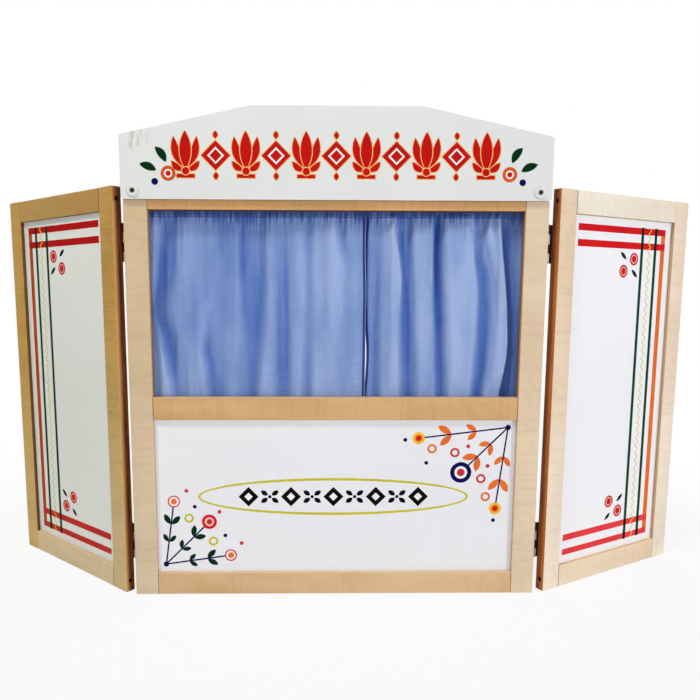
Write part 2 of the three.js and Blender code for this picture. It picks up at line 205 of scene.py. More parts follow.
# Birch plywood: pale rotary-cut faces whose grain runs across the bar, and browned plies on the edges, each
# bar's tones carrying painted light and painted shade
birchPly = {
    "ply": 1.5 * mm, "veneerFrom": 8.3 * mm, "halfThick": 9 * mm,
    "faces": {  # pale and dark tone of each bar's veneer, and the tone an upright bar fades to at its foot, as lit and shaded copies of one veneer: painted shade on the left wing, the left stile and the top rail under the header, painted light on the right wing and the feet
        "frame_left_stile": ((214, 193, 161), (196, 168, 130), (223, 204, 177)),
        "frame_right_stile": ((226, 205, 179), (211, 185, 154), (235, 214, 187)),
        "frame_top_rail": ((216, 168, 112), (190, 143, 90)),
        "frame_middle_rail": ((214, 175, 126), (192, 149, 96)),
        "frame_bottom_rail": ((218, 187, 148), (200, 162, 118)),
        "left_wing_inner_stile": ((200, 160, 84), (178, 136, 64), (222, 202, 154)),
        "left_wing_outer_stile": ((205, 162, 80), (183, 138, 60), (228, 197, 131)),
        "left_wing_top_rail": ((192, 154, 84), (174, 134, 68)),
        "left_wing_bottom_rail": ((228, 208, 172), (212, 186, 144)),
        "right_wing_inner_stile": ((237, 216, 190), (220, 192, 160), (252, 240, 223)),
        "right_wing_outer_stile": ((242, 223, 203), (228, 203, 176), (252, 240, 223)),
        "right_wing_top_rail": ((242, 235, 221), (230, 214, 192)),
        "right_wing_bottom_rail": ((240, 222, 197), (224, 198, 166)),
    },
    "edges": {  # pale and dark plies on the sawn edges, and the tone nearest the front, set per place with painted light and shade: paler rail tops as painted light from above, darker wing edges, outer stile edges and top rail undersides as painted shade
        "rail": ((230, 196, 152), (204, 162, 114), (236, 206, 166)),
        "frame": ((178, 134, 92), (130, 90, 58), (222, 184, 140)),
        "left": ((158, 90, 42), (66, 27, 10), (212, 156, 94)),
        "right": ((200, 118, 60), (112, 58, 26), (200, 126, 70)),
        "left_wing_outer_stile": ((94, 54, 24), (50, 24, 10), (126, 84, 44)),
        "right_wing_outer_stile": ((186, 152, 116), (150, 114, 80), (200, 168, 132)),
        "frame_top_rail": ((116, 74, 42), (82, 50, 28), (150, 104, 64)),
        "left_wing_top_rail": ((110, 70, 34), (70, 42, 18), (146, 100, 56)),
        "right_wing_top_rail": ((170, 134, 98), (136, 102, 70), (190, 154, 116)),
    },
    # How far back the edges keep the paler front tone: painted light at the front, painted shade behind it
    "frontLitDepth": 11 * mm,
    # The share of the foot's tone, which is painted light from the floor, how dark the grain is there, and
    # how far up it reaches in metres
    "footShare": 0.8, "footDepth": 0.88, "footTop": 0.55,
    # How close the patterns lie in X, Y and Z on an upright bar, turned round on a lying one
    "grain": {
        "fibre": (14, 120, 700), "streaks": (7, 30, 110), "figure": (4, 9, 12),
        "endGrain": (60, 280, 9), "pores": (500, 900, 60),
    },
    "clouds": {"upright": (6, 6, 6), "lying": (5, 6, 20)},
    "streakShare": {"upright": 0.3, "lying": 0.16},
    "figureBands": 40,
    "railRun": {"frame": (-320, 320), "left": (-323.5, -43.5), "right": (46, 326)},
    "jointLine": (0.7 * mm, 1.3 * mm), "jointTone": (84, 54, 34),
    "jointShare": {"frame": 0.9, "left": 0.5, "right": 0.6},
    # The bottom rail is painted lighter towards its right end: painted light from the right
    "drift": {"frame_bottom_rail": 0.35},
    "fibre": 0.24, "figure": 0.16, "cloud": 0.5, "roughness": 0.46,
}


def makeBirch(bar):
    facts = birchPly
    group = bar.split("_")[0]
    lying = bar.endswith("rail")
    lie = "lying" if lying else "upright"
    grain = {key: stretch[::-1] if lying else stretch for key, stretch in facts["grain"].items()}
    material = startMaterial(bar.replace("_", " ") + " birch", Specular_IOR_Level=0.22)
    place = objectPlace(sideOf[group])
    across, thick, height = splitPlace(place)
    fibre = speckle(place, grain["fibre"], 4.0)
    streaks = speckle(place, grain["streaks"], 2.0, 0.3)
    figure = times(speckle(place, grain["figure"], 1.0, 0.8), facts["figureBands"])
    cloud = speckle(place, facts["clouds"][lie], 3.0, 0.4)
    shade = plus(
        rescale(fibre, 0.35, 0.75, 0.0, facts["fibre"]),
        rescale(calc("SINE", figure), 0.8, 1.0, 0.0, facts["figure"]),
        rescale(streaks, 0.5, 0.75, 0.0, facts["streakShare"][lie]),
        rescale(cloud, 0.35, 0.7, 0.0, facts["cloud"]),
    )
    # Painted light: the bar turns lighter towards its right end
    if bar in facts["drift"]:
        drift = facts["drift"][bar]
        shade = plus(shade, rescale(across, -0.32, 0.32, drift, -drift))
    pale, dark, *foot = facts["faces"][bar]
    if lying:
        low, high = (end * mm for end in facts["railRun"][group])
        fromEnds = [calc("SUBTRACT", across, low), calc("SUBTRACT", high, across)]
        nearest = calc("MINIMUM", *fromEnds)
        line = rescale(nearest, *facts["jointLine"], facts["jointShare"][group], 0.0)
        face = blend(line, blend(shade, pale, dark), facts["jointTone"])
    else:
        # Painted light from the floor: an upright bar fades to its lighter foot tone near the bottom
        darkFoot = tuple(facts["footDepth"] * value for value in foot[0])
        share = rescale(height, 0.0, facts["footTop"], facts["footShare"], 0.0)
        face = blend(shade, blend(share, pale, foot[0]), blend(share, dark, darkFoot))
    # The sawn edges show the plies; their darker tone further back is painted shade, and the paler tone
    # towards the front painted light
    edgePale, edgeDark, edgeFrontLit = facts["edges"].get(bar) or facts["edges"]["rail" if lying else group]
    plyShare = plus(
        rescale(calc("SINE", times(thick, math.pi / facts["ply"])), -0.4, 0.6, 0.1, 0.55),
        rescale(speckle(place, grain["endGrain"]), 0.35, 0.65, -0.25, 0.4),
        rescale(speckle(place, grain["pores"], 2.0), 0.35, 0.65, -0.12, 0.1),
    )
    inFront = rescale(thick, -facts["halfThick"], facts["frontLitDepth"] - facts["halfThick"], 0.9, 0.0)
    edge = blend(inFront, blend(plyShare, edgeDark, edgePale), edgeFrontLit)
    onFace = rescale(calc("ABSOLUTE", thick), facts["veneerFrom"], facts["veneerFrom"] + 0.3 * mm)
    feed("Base Color", blend(onFace, edge, face))
    feed("Roughness", rescale(fibre, 0.3, 0.7, facts["roughness"], facts["roughness"] + 0.12))
    addBump(fibre, 0.06 * mm, 0.4)
    return material


def makeBoardFinish(name, tone, shadeTone, side, worn=(), sawn=None):
    material = startMaterial(name, Specular_IOR_Level=0.35)
    place = objectPlace(side)
    cloud = speckle(place, (2.2, 2.2, 3.1))
    grime = evenSpeckle(place, 26, 4.0)
    share = plus(rescale(cloud, 0.3, 0.75, 0.0, 0.6), rescale(grime, 0.62, 0.8, 0.0, 0.35))
    colour = blend(share, tone, shadeTone)
    scuffs = rescale(speckle(place, (110, 110, 34), 4.0, 0.6), 0.55, 0.68)
    for spot, reach, wornTone in worn:
        away = addNode("VectorMath", {0: place, 1: Vector(spot) * mm}, operation="DISTANCE")
        near = rescale(away.outputs["Value"], 0.3 * reach * mm, reach * mm, 0.55, 0.0)
        inFront = rescale(splitPlace(place)[1], (spot[1] + 2) * mm, (spot[1] + 3) * mm, 1.0, 0.0)
        colour = blend(times(near, inFront, scuffs), colour, wornTone)
    # The edges take the sawn tone: brown hardboard, darkened as painted shade
    if sawn:
        facing = splitPlace(addNode("TexCoord").outputs["Normal"])[1]
        onEdge = rescale(calc("ABSOLUTE", facing), 0.15, 0.5, 1.0, 0.0)
        colour = blend(onEdge, colour, sawn)
    feed("Base Color", colour)
    feed("Roughness", rescale(cloud, 0.3, 0.7, 0.3, 0.4))
    addBump(evenSpeckle(place, 420, 1.0), 0.02 * mm, 0.5)
    return material


def makeSteel(name, tone, worn, roughness, stretch):
    material = startMaterial(name, Metallic=1.0)
    place = objectPlace()
    brushed = speckle(place, stretch)
    spots = evenSpeckle(place, 310)
    share = plus(times(brushed, 0.35), rescale(spots, 0.55, 0.75, 0.0, 0.5))
    feed("Base Color", blend(share, tone, worn))
    feed("Roughness", rescale(spots, 0.3, 0.7, roughness, roughness + 0.15))
    addBump(brushed, 0.03 * mm, 0.4)
    return material


def makePlastic(name, tone, shadeTone):
    material = startMaterial(name, Roughness=0.32, Specular_IOR_Level=0.5)
    place = objectPlace()
    cloud = rescale(evenSpeckle(place, 160, 2.0), 0.35, 0.7)
    feed("Base Color", blend(cloud, tone, shadeTone))
    addBump(evenSpeckle(place, 900, 1.0), 0.02 * mm, 0.4)
    return material


def makeInk(name, tone):
    material = startMaterial(name, Specular_IOR_Level=0.03)
    place = objectPlace()
    dots = evenSpeckle(place, 700, 2.0)
    cloud = evenSpeckle(place, 30, 2.0)
    share = plus(rescale(dots, 0.4, 0.7, 0.0, 0.35), rescale(cloud, 0.4, 0.7, 0.0, 0.4))
    feed("Base Color", blend(share, tone, tuple(0.86 * value for value in tone)))
    feed("Roughness", rescale(dots, 0.3, 0.7, 0.5, 0.62))
    return material


# Tone, mottled tone and side of each white board; the left wing's board is darker and warmer as painted
# shade, the right wing's lighter as painted light
panels = {
    "left_wing_panel": ((236, 241, 239), (229, 234, 230), -1),
    "right_wing_panel": ((247, 248, 254), (240, 241, 248), 1),
    "lower_panel": ((234, 236, 244), (228, 230, 238), 0),
}
for name, tonesAndSide in panels.items():
    finish = makeBoardFinish(name.replace("_", " ") + " finish", *tonesAndSide)
    for slot in nodes[name].material_slots:
        slot.material = finish
print("panels finished")


# Wood, header and hardware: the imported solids, doubles merged, round sides smoothed and edges eased
easing = {
    "wood": 0.9 * mm, "header": 1.1 * mm, "washer": 0.3 * mm, "rod": 0.3 * mm,
    "metal": 0.12 * mm, "mergeWithin": 0.004 * mm, "flatWithin": math.radians(1),
    "sharpFrom": math.radians(35),
}


def refine(name, body, material, ease=easing["metal"], socket=None):
    mesh = nodes[name].data.copy()
    bm = bmesh.new()
    bm.from_mesh(mesh)
    bmesh.ops.remove_doubles(bm, verts=bm.verts, dist=easing["mergeWithin"])
    bmesh.ops.dissolve_limit(bm, angle_limit=easing["flatWithin"], verts=bm.verts, edges=bm.edges)
    for edge in bm.edges:
        edge.smooth = len(edge.link_faces) == 2 and edge.calc_face_angle(0) < easing["sharpFrom"]
    for face in bm.faces:
        face.smooth = True
    mesh.materials.clear()
    mesh.materials.append(material)
    # Faces within the recess take the near-black socket tone: painted shade in the recess
    if socket:
        axis, radius = socket
        middle = sum((vert.co for vert in bm.verts), Vector()) / len(bm.verts)
        for face in bm.faces:
            if max((vert.co - middle).cross(axis).length for vert in face.verts) < radius:
                face.material_index = 1
        mesh.materials.append(steel["socket painted shade"])
    bm.to_mesh(mesh)
    bm.free()
    piece = addObject(name + ".fine", mesh)
    setAll(piece.modifiers.new("eased edges", "BEVEL"), {
        "width": ease, "segments": 2, "limit_method": "ANGLE",
        "angle_limit": easing["sharpFrom"], "harden_normals": True,
    })
    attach(piece, body)
    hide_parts(name)


for bar in birchPly["faces"]:
    body = "frame" if bar.startswith("frame") else bar.split("_")[0] + "_wing"
    refine(bar, body, makeBirch(bar), easing["wood"])
headerBoard = {
    # The sawn tone is brown hardboard darkened as painted shade
    "tones": ((224, 228, 230), (216, 220, 222)), "sawn": (128, 96, 64),
    "worn": [  # spot, reach and tone
        ((-338, -15, 794), 34, (176, 174, 166)),
        ((359, -15, 780), 26, (206, 200, 176)),
    ],
}
tones, worn, sawn = headerBoard["tones"], headerBoard["worn"], headerBoard["sawn"]
headerFinish = makeBoardFinish("header finish", *tones, 0, worn, sawn)
refine("header_board", "frame", headerFinish, easing["header"])
print("plywood bars and header finished")

# Tone, worn tone, roughness, and how close the brushing lies in X, Y and Z
steels = {
    "zinc steel": ((168, 168, 170), (92, 90, 88), 0.3, (60, 60, 900)),
    "rod zinc": ((196, 197, 200), (150, 150, 150), 0.24, (60, 900, 900)),
    # The wing leaves' zinc, darker as painted shade
    "zinc in painted shade": ((74, 64, 58), (34, 28, 24), 0.45, (60, 60, 900)),
    "screw steel": ((62, 54, 48), (32, 26, 22), 0.4, (500, 500, 500)),
    "header screw steel": ((72, 72, 76), (40, 40, 44), 0.42, (500, 500, 500)),
    # Near-black tone for the screws' recesses: painted shade
    "socket painted shade": ((30, 27, 26), (14, 12, 12), 0.6, (500, 500, 500)),
}
steel = {name: makeSteel(name, *facts) for name, facts in steels.items()}
washerPlastic = makePlastic("washer plastic", (222, 226, 223), (212, 216, 213))
alongX, alongY = Vector((1, 0, 0)), Vector((0, 1, 0))
frameSocket, headerSocket = 1.95 * mm, 1.75 * mm
for side, sideName in sideNames.items():
    wing = sideName + "_wing"
    refine(f"{sideName}_rod_eye", "frame", steel["zinc steel"])
    refine(f"header_{sideName}_washer", "frame", washerPlastic, easing["washer"])
    name = f"header_{sideName}_screw"
    refine(name, "frame", steel["header screw steel"], socket=(alongY, headerSocket))
    for level in ("lower", "upper"):
        hinge = f"{sideName}_{level}_hinge_"
        refine(hinge + "frame_leaf", "frame", steel["zinc steel"])
        refine(hinge + "pin", "frame", steel["zinc steel"])
        refine(hinge + "wing_leaf", wing, steel["zinc in painted shade"])
    for level in ("bottom", "middle", "top"):
        name = f"frame_{level}_{sideName}_screw"
        refine(name, "frame", steel["screw steel"], socket=(alongX, frameSocket))
    wingAcross = wingMatrix(side).to_3x3() @ alongX
    for level in ("bottom", "top"):
        for end in ("inner", "outer"):
            name = f"{wing}_{level}_{end}_screw"
            refine(name, wing, steel["screw steel"], socket=(wingAcross, frameSocket))
refine("curtain_rod", "frame", steel["rod zinc"], easing["rod"])
print("hardware refined")


def finishPiece(name, bm, materials, body=None, matrix=None):
    if matrix:
        bmesh.ops.transform(bm, matrix=matrix, verts=bm.verts)
    bmesh.ops.recalc_face_normals(bm, faces=bm.faces)
    mesh = bpy.data.meshes.new(name)
    bm.to_mesh(mesh)
    bm.free()
    for material in materials:
        mesh.materials.append(material)
    piece = addObject(name, mesh)
    if body:
        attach(piece, body)
    return piece


# Countersunk screws of the hinges, three to a leaf, with a cross recess
leafScrew = {
    "headRadius": 2.75 * mm, "shankRadius": 1.5 * mm, "headHeight": 1.15 * mm,
    "recess": 1.9 * mm, "recessWaist": 0.36, "armSharpness": 3, "recessDepth": 0.8 * mm,
    "recessFloor": 0.7, "sides": 24, "face": -1.85 * mm, "far": 19 * mm,
    "near": 13 * mm, "endInset": 10 * mm, "leafHeight": 66 * mm,
    "levels": {"lower": 60 * mm, "upper": 594 * mm},
}


def addLeafScrew(bm, x, z, turn):
    facts = leafScrew
    before = set(bm.verts)
    made = bmesh.ops.create_cone(
        bm, cap_ends=True, segments=facts["sides"], radius1=facts["shankRadius"],
        radius2=facts["headRadius"], depth=facts["headHeight"],
    )["verts"]
    faces = (face for vert in made for face in vert.link_faces)
    top = max(faces, key=lambda face: face.calc_center_median().z)
    bmesh.ops.inset_region(bm, faces=[top], thickness=facts["headRadius"] - facts["recess"])
    for vert in top.verts:
        nearAxis = abs(math.cos(2 * math.atan2(vert.co.y, vert.co.x))) ** facts["armSharpness"]
        vert.co.xy *= facts["recessWaist"] + (1 - facts["recessWaist"]) * nearAxis
    sunk = bmesh.ops.extrude_face_region(bm, geom=[top])["geom"]
    floorVerts = [item for item in sunk if isinstance(item, bmesh.types.BMVert)]
    bmesh.ops.translate(bm, vec=(0, 0, -facts["recessDepth"]), verts=floorVerts)
    bmesh.ops.scale(bm, vec=(facts["recessFloor"], facts["recessFloor"], 1), verts=floorVerts)
    place = Matrix.Translation((x, facts["face"] - facts["headHeight"] / 2, z))
    place = place @ Matrix.Rotation(math.radians(-90), 4, "X") @ Matrix.Rotation(turn, 4, "Z")
    bmesh.ops.transform(bm, matrix=place, verts=[vert for vert in bm.verts if vert not in before])


def makeLeafScrews(side, level, ofWing):
    facts = leafScrew
    sideName = sideNames[side]
    reach = side if ofWing else -side
    rng = random.Random(f"{sideName}{level}{ofWing}")
    bm = bmesh.new()
    inset, middle = facts["endInset"], facts["leafHeight"] / 2
    for x, z in ((facts["far"], inset), (facts["near"], middle), (facts["far"], 2 * middle - inset)):
        addLeafScrew(bm, reach * x, facts["levels"][level] + z, rng.uniform(0, math.pi))
    holder, body = ("wing", sideName + "_wing") if ofWing else ("frame", "frame")
    matrix = wingMatrix(side) if ofWing else pinMatrix(side)
    piece = finishPiece(f"{sideName}_{level}_{holder}_leaf_screws", bm, [steel["screw steel"]], body, matrix)


for side in sideNames:
    for level in leafScrew["levels"]:
        makeLeafScrews(side, level, False)
        makeLeafScrews(side, level, True)
print("hinge screws made")


# Prints: crisp inked shapes, drawn in X and Z on a face that looks towards -Y
inks = {
    "red": (222, 26, 34),
    "crimson": (208, 42, 58),
    "pink": (252, 200, 192),
    # The left wing's reds and orange, deeper as painted shade
    "redInShade": (188, 22, 20),
    "softRed": (240, 64, 72),
    "softRedInShade": (206, 54, 50),
    "orangeInShade": (192, 74, 20),
    "brick": (194, 22, 18),
    "green": (4, 64, 42),
    "darkGreen": (6, 34, 18),
    "leafGreen": (4, 48, 20),
    "orange": (238, 116, 46),
    "burntOrange": (216, 88, 32),
    "yellow": (246, 198, 44),
    "paleYellow": (232, 222, 132),
    "lime": (206, 198, 44),
    "navy": (12, 10, 88),
    "black": (6, 6, 8),
    "gold": (250, 190, 120),
    "white": (244, 245, 246),
}
inkNames = list(inks)
inkMaterials = [makeInk(name + " ink", tone) for name, tone in inks.items()]
film = {"thickness": 0.09 * mm, "step": 0.05 * mm}
faceOut = Matrix.Rotation(math.radians(90), 4, "X")


def addInk(bm, faces, ink, layer):
    for face in faces:
        face.material_index = inkNames.index(ink)
    grown = bmesh.ops.extrude_face_region(bm, geom=faces)["geom"]
    verts = [item for item in grown if isinstance(item, bmesh.types.BMVert)]
    bmesh.ops.translate(bm, vec=(0, -film["thickness"] - film["step"] * layer, 0), verts=verts)


def flatCircle(bm, x, z, reachX, reachZ, segments, capped):
    size = Matrix.Diagonal((reachX * mm, reachZ * mm, 1, 1))
    matrix = Matrix.Translation((x * mm, 0, z * mm)) @ faceOut @ size
    return bmesh.ops.create_circle(bm, cap_ends=capped, segments=segments, radius=1, matrix=matrix)["verts"]


def addDisc(bm, x, z, radius, ink, layer=0, segments=36):
    verts = flatCircle(bm, x, z, radius, radius, segments, True)
    addInk(bm, [verts[0].link_faces[0]], ink, layer)


def addOval(bm, x, z, reachX, reachZ, width, ink, layer=0, segments=48):
    outer = flatCircle(bm, x, z, reachX, reachZ, segments, False)
    inner = flatCircle(bm, x, z, reachX - width, reachZ - width, segments, False)
    edges = list({edge for vert in outer + inner for edge in vert.link_edges})
    addInk(bm, bmesh.ops.bridge_loops(bm, edges=edges)["faces"], ink, layer)


def addRing(bm, x, z, radius, width, ink, layer=0):
    addOval(bm, x, z, radius, radius, width, ink, layer, 40)


def addLeaf(bm, start, end, width, ink, layer=0, bend=0.0, grow=0.0):
    run = Vector(end) - Vector(start)
    middle = (Vector(end) + Vector(start)) / 2
    half = run.length / 2 + grow
    verts = bmesh.ops.create_circle(bm, cap_ends=True, segments=28, radius=1)["verts"]
    for vert in verts:
        along, aside = vert.co.x, vert.co.y
        vert.co.y = (width / 2 + grow) * aside * abs(aside) ** 0.8 + bend * (1 - along * along)
        vert.co.x = along * half
    turn = Matrix.Rotation(math.atan2(run.y, run.x), 4, "Z")
    place = Matrix.Translation((middle.x * mm, 0, middle.y * mm)) @ faceOut @ turn
    bmesh.ops.transform(bm, matrix=place @ Matrix.Diagonal((mm, mm, 1, 1)), verts=verts)
    addInk(bm, [verts[0].link_faces[0]], ink, layer)


def addStrip(bm, points, width, ink, layer=0):
    count = len(points) - 1
    made = bmesh.ops.create_grid(bm, x_segments=count, y_segments=1, size=0.5)["verts"]
    for vert in made:
        i = round((vert.co.x + 0.5) * count)
        run = Vector(points[min(i + 1, count)]) - Vector(points[max(i - 1, 0)])
        aside = Vector((-run.y, run.x)).normalized() * (width / 2 if vert.co.y > 0 else -width / 2)
        place = Vector(points[i]) + aside
        vert.co = Vector((place.x * mm, 0, place.y * mm))
    addInk(bm, list({face for vert in made for face in vert.link_faces}), ink, layer)


def addRect(bm, lowX, highX, lowZ, highZ, ink, layer=0):
    middleZ = (lowZ + highZ) / 2
    addStrip(bm, [(lowX, middleZ), (highX, middleZ)], highZ - lowZ, ink, layer)


def addRosette(bm, x, z, radii, tones, layer=0):
    for i, tone in enumerate(tones):
        if i == len(tones) - 1:
            addDisc(bm, x, z, radii[i], tone, layer)
        else:
            addRing(bm, x, z, radii[i], radii[i] - radii[i + 1], tone, layer)


def finishPrint(name, bm, face, side=0):
    place = Matrix.Translation((0, face * mm, 0))
    if side:
        finishPiece(name, bm, inkMaterials, sideNames[side] + "_wing", wingMatrix(side) @ place)
    else:
        finishPiece(name, bm, inkMaterials, "frame", place)


# Wing print: distances are from the wood's inner edge, and the left wing mirrors the right
wingPrint = {
    "face": -14.3,
    "woodFrom": {"left": 3.5, "right": 6.0},
    "bands": [(653.5, 665.7), (625.9, 638.3), (82.9, 95.3), (55.0, 66.7)],
    "bandRun": (54.3, 303.0), "greens": (233.6, 273.8), "greenWidth": 7.6,
    "lineRun": (53.8, 666.8),
    "wave": {"middle": 255.2, "reach": 3.9, "period": 15.8, "width": 2.3, "steps": 8},
    "orange": (290.2, 302.7),
    "rosettes": [(211.8, 607.5), (183.3, 584.4), (180.6, 139.9), (208.6, 117.1)],
    "rosetteRadii": (12.0, 8.4, 6.6, 4.6),
    "rosetteInks": ("crimson", "pink", "crimson", "red"),
    "leaves": [
        ((172.6, 619.7), (189.4, 606.8)), ((206.4, 587.9), (224.0, 573.6)),
        ((220.8, 149.5), (204.3, 136.4)), ((186.4, 116.2), (171.3, 103.6)),
    ],
    "leafWidth": 7.5,
    "upperLift": {"left": 2.2, "right": 0.0},
    # The lower two bands take a lighter red: painted highlight
    "bandInks": ("red", "red", "softRed", "softRed"),
    "leftShadedInks": {"red": "redInShade", "softRed": "softRedInShade", "orange": "orangeInShade"},
}


def makeWingPrint(side):
    facts = wingPrint
    sideName = sideNames[side]
    bm = bmesh.new()
    low, high = facts["lineRun"]

    def raised(*heights):
        return [z + facts["upperLift"][sideName] if z > high / 2 else z for z in heights]

    def put(reach):
        return side * (facts["woodFrom"][sideName] + reach)

    def rect(start, end, *rest):
        addRect(bm, *sorted((put(start), put(end))), *rest)

    # The left wing's print takes deeper inks: painted shade
    leftShadedInks = facts["leftShadedInks"] if side < 0 else {}
    bands = [raised(*band) for band in facts["bands"]]
    greens = [(x - facts["greenWidth"] / 2, x + facts["greenWidth"] / 2) for x in facts["greens"]]
    for band, ink in zip(bands, facts["bandInks"]):
        rect(*facts["bandRun"], *band, leftShadedInks.get(ink, ink), 1)
        for green in greens:
            rect(*green, *band, "darkGreen", 3)
    rect(*facts["orange"], bands[3][1], bands[0][0], leftShadedInks.get("orange", "orange"), 0)
    for green in greens:
        rect(*green, low, high, "green", 2)
    # The wavy line is brighter where it crosses a band
    wave = facts["wave"]
    count = int((high - low) / wave["period"] * wave["steps"])
    stretches = []
    for i in range(count + 1):
        z = low + (high - low) * i / count
        swing = wave["reach"] * math.sin(2 * math.pi * (high - z) / wave["period"])
        ink = "yellow" if any(start < z < end for start, end in bands) else "paleYellow"
        if not stretches or stretches[-1][0] != ink:
            stretches.append((ink, stretches[-1][1][-1:] if stretches else []))
        stretches[-1][1].append((put(wave["middle"] + swing), z))
    for ink, points in stretches:
        addStrip(bm, points, wave["width"], ink, 3)
    for x, z in facts["rosettes"]:
        addRosette(bm, put(x), *raised(z), facts["rosetteRadii"], facts["rosetteInks"])
    for leaf in facts["leaves"]:
        start, end = ((put(x), *raised(z)) for x, z in leaf)
        addLeaf(bm, start, end, facts["leafWidth"], "darkGreen")
    finishPrint(sideName + "_wing_print", bm, facts["face"], side)


# Header print: a flower sprig at each end, and a red frieze outlined in gold between them
headerPrint = {
    "face": -15.3, "sprigRadii": (12.4, 6.9, 4.3),
    "sprigInks": ("burntOrange", "white", "brick"), "berryRadius": 5.6, "leafWidth": 13,
    "sprigs": {  # rosette, berry, and the upper and the lower leaf
        -1: (
            (-281.0, 737.9), (-303.5, 724.6),
            ((-301.9, 780.4), (-284.2, 755.8)), ((-328.1, 753.0), (-300.5, 742.7)),
        ),
        1: (
            (288.0, 738.8), (310.2, 725.9),
            ((308.3, 782.2), (291.2, 757.4)), ((334.7, 755.4), (307.0, 743.9)),
        ),
    },
    "leafBends": (2.4, 1.6), "friezeMiddle": (-2.0, 767.0), "friezeStep": 50.0,
    "motifs": 11, "outline": 1.5,
    "petals": [  # start, end, width, bend and layer
        ((-3, -24), (-23, -9), 10, 3, 0),
        ((-1, -20), (-19, 30), 14, 5, 1.2),
        ((3, -24), (23, -9), 10, -3, 0.5),
        ((1, -20), (19, 30), 14, -5, 1.7),
        ((0, -22), (0, 39), 19, 0, 2.4),
    ],
    "foot": (-15, 15, -36, -30),
    "bead": (-25, 6),  # height and radius
    "rims": [(24, "brick", 0.6), (14, "white", 1.2), (10, "brick", 1.8)],  # radius, ink and layer
    "rimOutline": 2.1,
    "tips": (27, 39, 8),  # start, end and width
}


def addTulip(bm, x, z):
    facts = headerPrint
    grow = facts["outline"]
    for start, end, width, bend, layer in facts["petals"]:
        place = ((x + start[0], z + start[1]), (x + end[0], z + end[1]), width)
        addLeaf(bm, *place, "gold", layer, bend, grow)
        addLeaf(bm, *place, "brick", layer + 0.3, bend)
    left, right, low, high = facts["foot"]
    addRect(bm, x + left - grow, x + right + grow, z + low - grow, z + high + grow, "gold", 0.2)
    addRect(bm, x + left, x + right, z + low, z + high, "brick", 0.8)
    height, radius = facts["bead"]
    addDisc(bm, x, z + height, radius + grow, "gold", 3.1)
    addDisc(bm, x, z + height, radius, "brick", 3.4)


def addLozenge(bm, x, z):
    facts = headerPrint
    rims = facts["rims"]
    for radius, ink, layer in [(rims[0][0] + facts["rimOutline"], "gold", 0)] + rims:
        addDisc(bm, x, z, radius, ink, layer, 4)
    start, end, width = facts["tips"]
    for way in (-1, 1):
        place = ((x, z + way * start), (x, z + way * end), width)
        addLeaf(bm, *place, "gold", 0, 0, facts["outline"])
        addLeaf(bm, *place, "brick", 0.6)


def makeHeaderPrint():
    facts = headerPrint
    bm = bmesh.new()
    for side, (rosette, berry, *leaves) in facts["sprigs"].items():
        addRosette(bm, *rosette, facts["sprigRadii"], facts["sprigInks"])
        addDisc(bm, *berry, facts["berryRadius"], "navy")
        for leaf, bend in zip(leaves, facts["leafBends"]):
            addLeaf(bm, *leaf, facts["leafWidth"], "leafGreen", 0, -side * bend)
    middleX, middleZ = facts["friezeMiddle"]
    for i in range(facts["motifs"]):
        x = middleX + (i - (facts["motifs"] - 1) / 2) * facts["friezeStep"]
        (addLozenge if i % 2 else addTulip)(bm, x, middleZ)
    finishPrint("header_print", bm, facts["face"])


# Lower panel print: an oval with a row of lozenges and leaves, and a spray of flowers in two corners
panelPrint = {
    "face": -2.0,
    "oval": {"middle": (-4.0, 179.6), "reach": (242.4, 34.2), "width": 4.6},
    "rowStep": 38.0, "rowMotifs": 9,
    "lozenge": (18, 7.5),  # radius of the lozenge and of its white middle
    "cross": (4.5, 19, (35, 145, 215, 325), 8.5),  # start, end, angles and width of its leaves
    "crossBead": 3.0, "stemFrom": 3, "stemWidth": 2.8, "knot": 5.0,
    "leafPairs": [(0.34, 0.8), (0.62, 1.0)],  # share of the stem, and of the leaf's length
    "leafTurn": 36, "ring": (8.5, 3.6), "dotRadius": 3.5,
    "sprays": [
        {
            "root": (-306, 54), "leaf": (24, 10), "leafInk": "leafGreen",
            "stems": [
                (8, 118, (11, 8.6, 5.4), ("crimson", "white", "orange")),
                (45, 112, (13.5, 8.4, 5), ("red", "pink", "crimson")),
                (82, 118, (11, 8.6, 5.4), ("crimson", "white", "orange")),
            ],
            "rings": [(26.5, 96, "lime"), (63.5, 96, "lime")],
            "dots": [
                (26.5, 120, "navy"), (63.5, 120, "navy"),
                (16, 142, "crimson"), (45, 138, "crimson"), (74, 142, "crimson"),
            ],
        },
        {
            "root": (306, 306), "leaf": (30, 12), "leafInk": "orange",
            "stems": [
                (187, 160, (11, 6.8, 4.6), ("yellow", "orange", "red")),
                (225, 116, (19, 11.5, 7), ("navy", "white", "crimson")),
                (263, 150, (11, 6.8, 4.6), ("yellow", "orange", "red")),
            ],
            "rings": [
                (206, 104, "crimson"), (244, 104, "crimson"), (196, 140, "orange"), (254, 132, "orange"),
            ],
            "dots": [
                (206, 78, "crimson"), (244, 78, "crimson"),
                (204, 158, "navy"), (187, 184, "navy"), (263, 172, "navy"),
            ],
        },
    ],
}


def polar(hub, radius, angle):
    return hub[0] + radius * math.cos(math.radians(angle)), hub[1] + radius * math.sin(math.radians(angle))


def addFan(bm, hub, near, far, angles, width, ink):
    for angle in angles:
        addLeaf(bm, polar(hub, near, angle), polar(hub, far, angle), width, ink)


